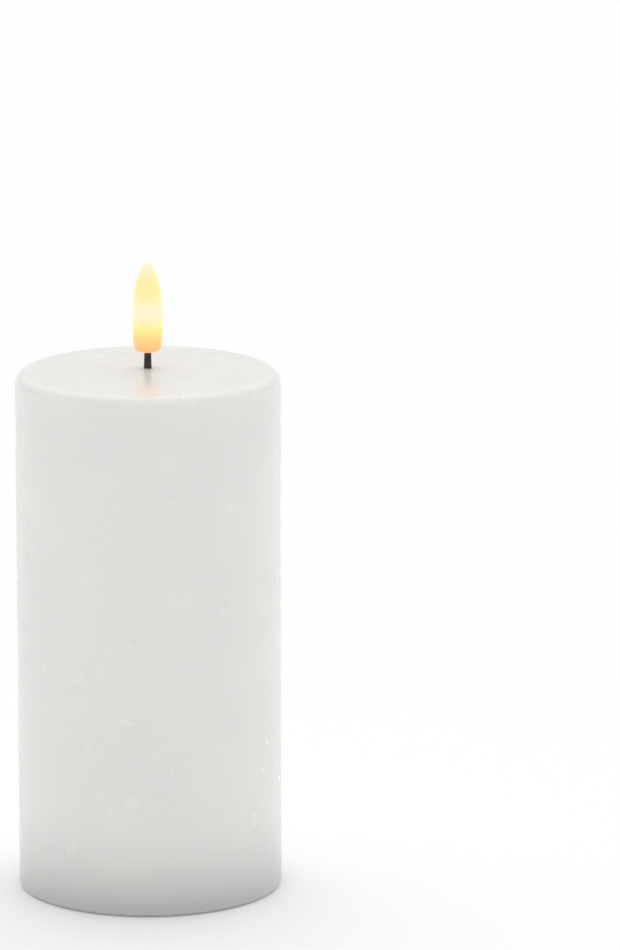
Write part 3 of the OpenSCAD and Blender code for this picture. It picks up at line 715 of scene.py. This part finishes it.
@dataclass
class WaxPillar:
    """The hollow pillar of wax, with a soft rim and a slightly crowned top.

    Attributes:
        wall: wall beside the electronics module.
        upper_wall: wall above the module.
        top: thickness of the wax top.
        rim: radius of the soft rim.
        crown: height of the top's middle above its rim.
        foot: radius of the foot's outer edge.
        ledge: height of the ledge over the module.
        hole: radius of the hole for the wick.
        bush: radius of the pocket for the wick's bush.
        bush_top: depth of that pocket's end below the top.
        meniscus: how far the wax creeps up the wick.
        uneven: most that the poured surface lies inside its true shape.
        swell: width of one swelling of the poured surface.
        sides: number of flat sides round the pillar.
    """

    wall: float = 4.6
    upper_wall: float = 6.0
    top: float = 9.0
    rim: float = 3.4
    crown: float = 0.8
    foot: float = 1.6
    ledge: float = 26.2
    hole: float = 1.1
    bush: float = 3.1
    bush_top: float = 4.0
    meniscus: float = 0.2
    uneven: float = 0.14
    swell: float = 26.0
    sides: int = 192

    def profile(self, radius: float, height: float) -> Profile:
        """Gives the section of the pillar.

        Args:
            radius: outside radius.
            height: height of the top's middle.

        Returns:
            Radius and height of each point, once round the section.
        """
        pocket, hollow = radius - self.wall, radius - self.upper_wall
        rim_z = height - self.crown
        edge = radius - self.rim
        wall_rows = [(radius, self.foot + (rim_z - self.rim - self.foot) * i / 40) for i in range(1, 40)]
        crown_reach = [edge * (1 - i / 16) for i in range(1, 15)]
        crown_rows = [(r, rim_z + self.crown * (1 - (r / edge) ** 2)) for r in crown_reach]
        creep = self.meniscus
        climb = arc((self.hole + creep, height + creep), creep, -90, -180, 4)
        under = height - self.top
        return [
            (pocket, 0), *arc((radius - self.foot, self.foot), self.foot, -90, 0, 8), *wall_rows,
            *arc((edge, rim_z - self.rim), self.rim, 0, 90, 16), *crown_rows, *climb,
            (self.hole, height - self.bush_top), (self.bush, height - self.bush_top), (self.bush, under),
            *arc((hollow - 4, under - 4), 4, 90, 0, 8), (hollow, self.ledge), (pocket, self.ledge),
        ]

    def build(self) -> None:
        """Turns the pillar and lets its outside stray a little inwards, as poured wax does."""
        low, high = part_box("wax_shell")
        radius = (high.x - low.x) / 2 / MM - 0.01
        mesh = turned(self.profile(radius, high.z / MM), self.sides, closed=True)
        for vert in mesh.verts:
            reach = Vector((vert.co.x, vert.co.y, 0))
            if reach.length > (radius - self.wall / 2) * MM or vert.co.z > high.z - self.top / 3 * MM:
                broad = 0.5 + 0.5 * noise.noise(vert.co / (self.swell * MM))
                near = min(1.0, max(0.0, (reach.length / MM - 2) / 6))
                vert.co -= vert.normal * (broad * near * self.uneven * MM)
        make_piece("wax_body", mesh, WAX.build(), Body.CANDLE, ("wax_shell",), crease=55)


@dataclass
class Flame:
    """The hollow moulded flame: it swells a little to its waist, then is an ogive.

    Attributes:
        wall: thickness of its wall.
        foot: radius of the edge round its foot.
        plug: radius of the opening that the plug closes.
        waist: share of the height where the ogive starts.
        taper: share of the radius that is lost down to the foot.
        belly: how late the ogive turns inwards.
        point: how blunt the ogive's tip is, less for a blunter one.
        sides: number of flat sides round the flame.
    """

    wall: float = 1.0
    foot: float = 1.8
    plug: float = 2.1
    waist: float = 0.44
    taper: float = 0.14
    belly: float = 1.75
    point: float = 0.66
    sides: int = 96

    def radius_at(self, z: float, radius: float, height: float) -> float:
        """Gives the flame's radius at a height above its foot.

        Args:
            z: height above the foot.
            radius: largest radius.
            height: height of the tip.

        Returns:
            The radius there.
        """
        waist = self.waist * height
        if z < waist:
            return radius - self.taper * radius * (1 - z / waist) ** 2
        return radius * (1 - min(1.0, (z - waist) / (height - waist)) ** self.belly) ** self.point

    def build(self) -> None:
        """Turns the flame's skin and gives it its wall."""
        low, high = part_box("flame_diffuser")
        radius, height, base = (high.x - low.x) / 2 / MM, (high.z - low.z) / MM, low.z / MM
        centre = self.radius_at(self.foot, radius, height) - self.foot
        rows = [self.foot + (height - self.foot) * math.sin(math.radians(90 * i / 44)) for i in range(1, 45)]
        side = [(self.radius_at(z, radius, height), z) for z in rows[:-1]] + [(0.0, height)]
        profile = [(self.plug, 0.0), *arc((centre, self.foot), self.foot, -90, 0, 10), *side]
        mesh = turned([(r, z + base) for r, z in profile], self.sides, closed=False)
        glow = LIT_FLAME.build()
        piece = make_piece("flame_glow", mesh, glow, Body.CANDLE, ("flame_diffuser",), crease=80)
        shell = piece.modifiers.new("wall", "SOLIDIFY")
        shell.thickness = self.wall * MM
        shell.offset = -1
        dress_nodes({"flame_plug": MILKY_PP, "flame_board": WHITE_BOARD, "flame_leds": PHOSPHOR})


@dataclass
class Wick:
    """The dark strand between the wax and the flame, round a tube for the leads.

    Attributes:
        lobes: number of yarns in the strand.
        groove: depth of the grooves between them.
        lay: height of one full turn of the twist.
        flare: how much wider the strand is at the wax, on its radius.
        narrow_by: height above the wax where the strand has lost its flare.
        wall: thickness of the strand's skin.
        step: height of one ring of the mesh.
    """

    lobes: int = 5
    groove: float = 0.13
    lay: float = 5.0
    flare: float = 0.15
    narrow_by: float = 4.4
    wall: float = 0.25
    step: float = 0.25

    def build(self) -> None:
        """Extrudes a lobed ring upwards in small turned steps."""
        low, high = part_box("wick_sleeve")
        wax_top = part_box("wax_shell")[1].z
        thick = (high.x - low.x) / 2 / MM - 0.005
        corners = self.lobes * 10
        mesh = bmesh.new()
        bmesh.ops.create_circle(mesh, cap_ends=False, segments=corners, radius=thick * MM)
        for vert in mesh.verts:
            angle = math.atan2(vert.co.y, vert.co.x)
            dip = self.groove * (1 - abs(math.cos(self.lobes * angle / 2))) / thick
            vert.co *= 1 - dip
        bmesh.ops.translate(mesh, verts=mesh.verts, vec=(0, 0, low.z))
        rows = round((high.z - low.z) / (self.step * MM))
        rise = (high.z - low.z) / rows
        ring = list(mesh.edges)
        narrow_from = (wax_top - 0.5 * MM - low.z) / rise
        narrow_to = (wax_top + self.narrow_by * MM - low.z) / rise
        shrink = ((thick - self.flare) / thick) ** (1 / (narrow_to - narrow_from))
        twist = Matrix.Rotation(math.tau * rise / (self.lay * MM), 3, "Z")
        for row in range(rows):
            made = bmesh.ops.extrude_edge_only(mesh, edges=ring)["geom"]
            ring = [g for g in made if isinstance(g, bmesh.types.BMEdge)]
            verts = [g for g in made if isinstance(g, bmesh.types.BMVert)]
            bmesh.ops.translate(mesh, verts=verts, vec=(0, 0, rise))
            bmesh.ops.rotate(mesh, verts=verts, cent=(0, 0, 0), matrix=twist)
            if narrow_from <= row < narrow_to:
                bmesh.ops.scale(mesh, verts=verts, vec=(shrink, shrink, 1))
        bmesh.ops.recalc_face_normals(mesh, faces=mesh.faces)
        outward = sum(f.normal.dot(Vector((*f.calc_center_median().xy, 0))) for f in mesh.faces)
        if outward < 0:
            bmesh.ops.reverse_faces(mesh, faces=mesh.faces)
        yarn = WICK_YARN.build()
        piece = make_piece("wick_braid", mesh, yarn, Body.CANDLE, ("wick_sleeve",), crease=80)
        wall = piece.modifiers.new("wall", "SOLIDIFY")
        wall.thickness = self.wall * MM
        wall.offset = -1
        dress_nodes({"wick_bush": MILKY_PP, "flame_lead_red": RED_PVC, "flame_lead_black": BLACK_PVC})


@dataclass
class BaseModule:
    """The moulded housing in the candle's base, its cover, door and switch knob.

    Attributes:
        edge: rounding of the mouldings' edges.
    """

    edge: float = 0.12

    def build(self) -> None:
        """Rounds the mouldings and dresses what holds them."""
        for name, node, finish, body, slot in (
            ("housing_moulding", "base_housing", WHITE_ABS, Body.CANDLE, "abs_white"),
            ("cover_moulding", "cover_plate", FLAT_ABS, Body.CANDLE, "abs_white"),
            ("door_moulding", "battery_door", WHITE_ABS, Body.DOOR, "abs_white"),
            ("knob_moulding", "switch_knob", GREY_KNOB, Body.SWITCH, "knob"),
        ):
            make_piece(name, softened(node, self.edge), finish.build(), body, (node,), crease=30)
        dress_nodes({"adhesive_band": GLUE, "cover_screws": ZINC, "door_foam": FOAM})


@dataclass
class Electronics:
    """The control board, what is soldered on it, and the slide switch."""

    def build(self) -> None:
        """Dresses the board, its parts and the switch."""
        dress_nodes({
            "control_board": GREEN_BOARD, "board_screws": ZINC, "timer_chip": EPOXY, "chip_leads": NICKEL,
            "timer_crystal": CAN_NICKEL, "chip_resistors": EPOXY, "smoothing_capacitor": CAPACITOR_FILM,
            "solder_joints": TIN_SOLDER, "switch_can": CAN_NICKEL, "switch_base": PHENOLIC,
            "switch_pins": NICKEL, "switch_actuator": BLACK_ACETAL,
        })


@dataclass
class BatteryPack:
    """The two AA cells with their sleeves, contacts, springs and leads."""

    def build(self) -> None:
        """Dresses the cells, the contacts and the leads."""
        dress_nodes({
            "cell_a": CAN_NICKEL, "cell_b": CAN_NICKEL, "cell_sleeve_a": SLEEVE_LEFT,
            "cell_sleeve_b": SLEEVE_RIGHT,
            "positive_contact": NICKEL, "negative_contact": NICKEL, "negative_spring": NICKEL,
            "bridge_contact": NICKEL, "bridge_spring": NICKEL, "battery_lead_red": RED_PVC,
            "battery_lead_black": BLACK_PVC,
        })


@dataclass
class Studio:
    """Camera, pale floor and soft light.

    Attributes:
        eye: the camera's place in metres.
        pitch: the camera's downward tilt in degrees.
        lens: focal length in millimetres.
        rise: how far the picture's frame is shifted up, as a share of its height.
        floor_radius: the floor's radius in metres.
        backlight: glow of the lit table under the floor's paper.
        hole: radius in metres of the floor's hole, which the candle's foot covers.
        sky: brightness of the sky by the sine of the height above the horizon.
        boxes: direction, strength and sharpness of each wide soft box.
    """

    eye: tuple[float, float, float] = (0.0456, -2.0, 0.5818)
    pitch: float = 14.08
    lens: float = 275.7
    rise: float = 0.1410
    floor_radius: float = 40.0
    backlight: float = 0.06
    hole: float = 0.0357
    sky: tuple[tuple[float, float], ...] = ((0.0, 1.0), (0.02, 1.0), (0.09, 0.24), (1.0, 0.66))
    boxes: tuple[tuple[tuple[float, float, float], float, float], ...] = (
        ((1, 0, 0), 0.33, 2.2), ((-1, 0, 0), 0.09, 2.0), ((-0.75, -0.66, 0), 0.22, 3.0),
        ((0, 0.8, 1), 0.98, 2.5), ((0, -1, 0), 0.29, 2.5),
    )

    def aim(self) -> None:
        """Makes the camera."""
        data = bpy.data.cameras.new("camera")
        data.lens = self.lens
        data.shift_y = self.rise
        data.sensor_width = 36
        data.clip_start = 0.05
        data.clip_end = 200
        camera = bpy.data.objects.new("camera", data)
        camera.location = self.eye
        camera.rotation_euler = (math.radians(90 - self.pitch), 0, 0)
        bpy.context.scene.collection.objects.link(camera)
        bpy.context.scene.camera = camera
        bpy.context.scene.view_settings.view_transform = "Standard"

    def lay_floor(self) -> None:
        """Makes the floor, seen from above only, with a hole that lets light reach the underside."""
        mesh = bmesh.new()
        bmesh.ops.create_circle(mesh, cap_ends=False, segments=96, radius=self.hole)
        made = bmesh.ops.extrude_edge_only(mesh, edges=mesh.edges)["geom"]
        outer = [g for g in made if isinstance(g, bmesh.types.BMVert)]
        spread = self.floor_radius / self.hole
        bmesh.ops.scale(mesh, verts=outer, vec=(spread, spread, 1))
        mesh.normal_update()
        downward = [face for face in mesh.faces if face.normal.z < 0]
        bmesh.ops.reverse_faces(mesh, faces=downward)
        data = bpy.data.meshes.new("floor")
        mesh.to_mesh(data)
        mesh.free()
        material = bpy.data.materials.new("matt white studio paper")
        material.use_nodes = True
        tree = material.node_tree
        tree.nodes.clear()
        white = add_node(tree, "ShaderNodeBsdfDiffuse", {"Color": linear("#FDFDFD")})
        # The lit table under the paper burns its white out, so the floor has no visible edge or grey.
        backlight = add_node(tree, "ShaderNodeEmission", {
            "Color": linear("#FFFFFF"), "Strength": self.backlight,
        })
        paper = add_node(tree, "ShaderNodeAddShader", {0: white.outputs[0], 1: backlight.outputs[0]})
        clear = add_node(tree, "ShaderNodeBsdfTransparent")
        side = add_node(tree, "ShaderNodeNewGeometry").outputs["Backfacing"]
        both = add_node(tree, "ShaderNodeMixShader", {0: side, 1: paper.outputs[0], 2: clear.outputs[0]})
        add_node(tree, "ShaderNodeOutputMaterial", {"Surface": both.outputs[0]})
        data.materials.append(material)
        floor = bpy.data.objects.new("floor", data)
        bpy.context.scene.collection.objects.link(floor)

    def light(self) -> None:
        """Makes a soft sky: brightest above and behind, with wide soft boxes round it."""
        world = bpy.data.worlds.new("studio")
        world.use_nodes = True
        tree = world.node_tree
        tree.nodes.clear()
        around = add_node(tree, "ShaderNodeTexCoord").outputs["Generated"]
        apart = add_node(tree, "ShaderNodeSeparateXYZ", {"Vector": around})
        upward = add_node(tree, "ShaderNodeValToRGB", {"Fac": apart.outputs["Z"]})
        set_ramp(upward.color_ramp, [(height, (bright, bright, bright, 1)) for height, bright in self.sky])
        total = upward.outputs[0]
        for towards, strength, power in self.boxes:
            facing = add_node(tree, "ShaderNodeVectorMath", {
                0: around, 1: Vector(towards).normalized(),
            }, operation="DOT_PRODUCT")
            lit = add_node(tree, "ShaderNodeMath", {0: facing.outputs["Value"], 1: 0.0}, operation="MAXIMUM")
            lobe = add_node(tree, "ShaderNodeMath", {0: lit.outputs[0], 1: power}, operation="POWER")
            summed = add_node(tree, "ShaderNodeMath", {
                0: lobe.outputs[0], 1: strength, 2: total,
            }, operation="MULTIPLY_ADD")
            total = summed.outputs[0]
        sky = add_node(tree, "ShaderNodeBackground", {"Color": linear("#FFFFFF"), "Strength": total})
        add_node(tree, "ShaderNodeOutputWorld", {"Surface": sky.outputs[0]})
        bpy.context.scene.world = world

    def build(self) -> None:
        """Sets up camera, floor and light."""
        self.aim()
        self.lay_floor()
        self.light()


def main() -> None:
    """Builds the studio and every sub-assembly in order."""
    logging.basicConfig(level=logging.INFO, format="%(name)s: %(message)s")
    for part in (Studio(), WaxPillar(), Flame(), Wick(), BaseModule(), Electronics(), BatteryPack()):
        part.build()
        log.info("%s is built", type(part).__name__)


if __name__ == "__main__":
    main()
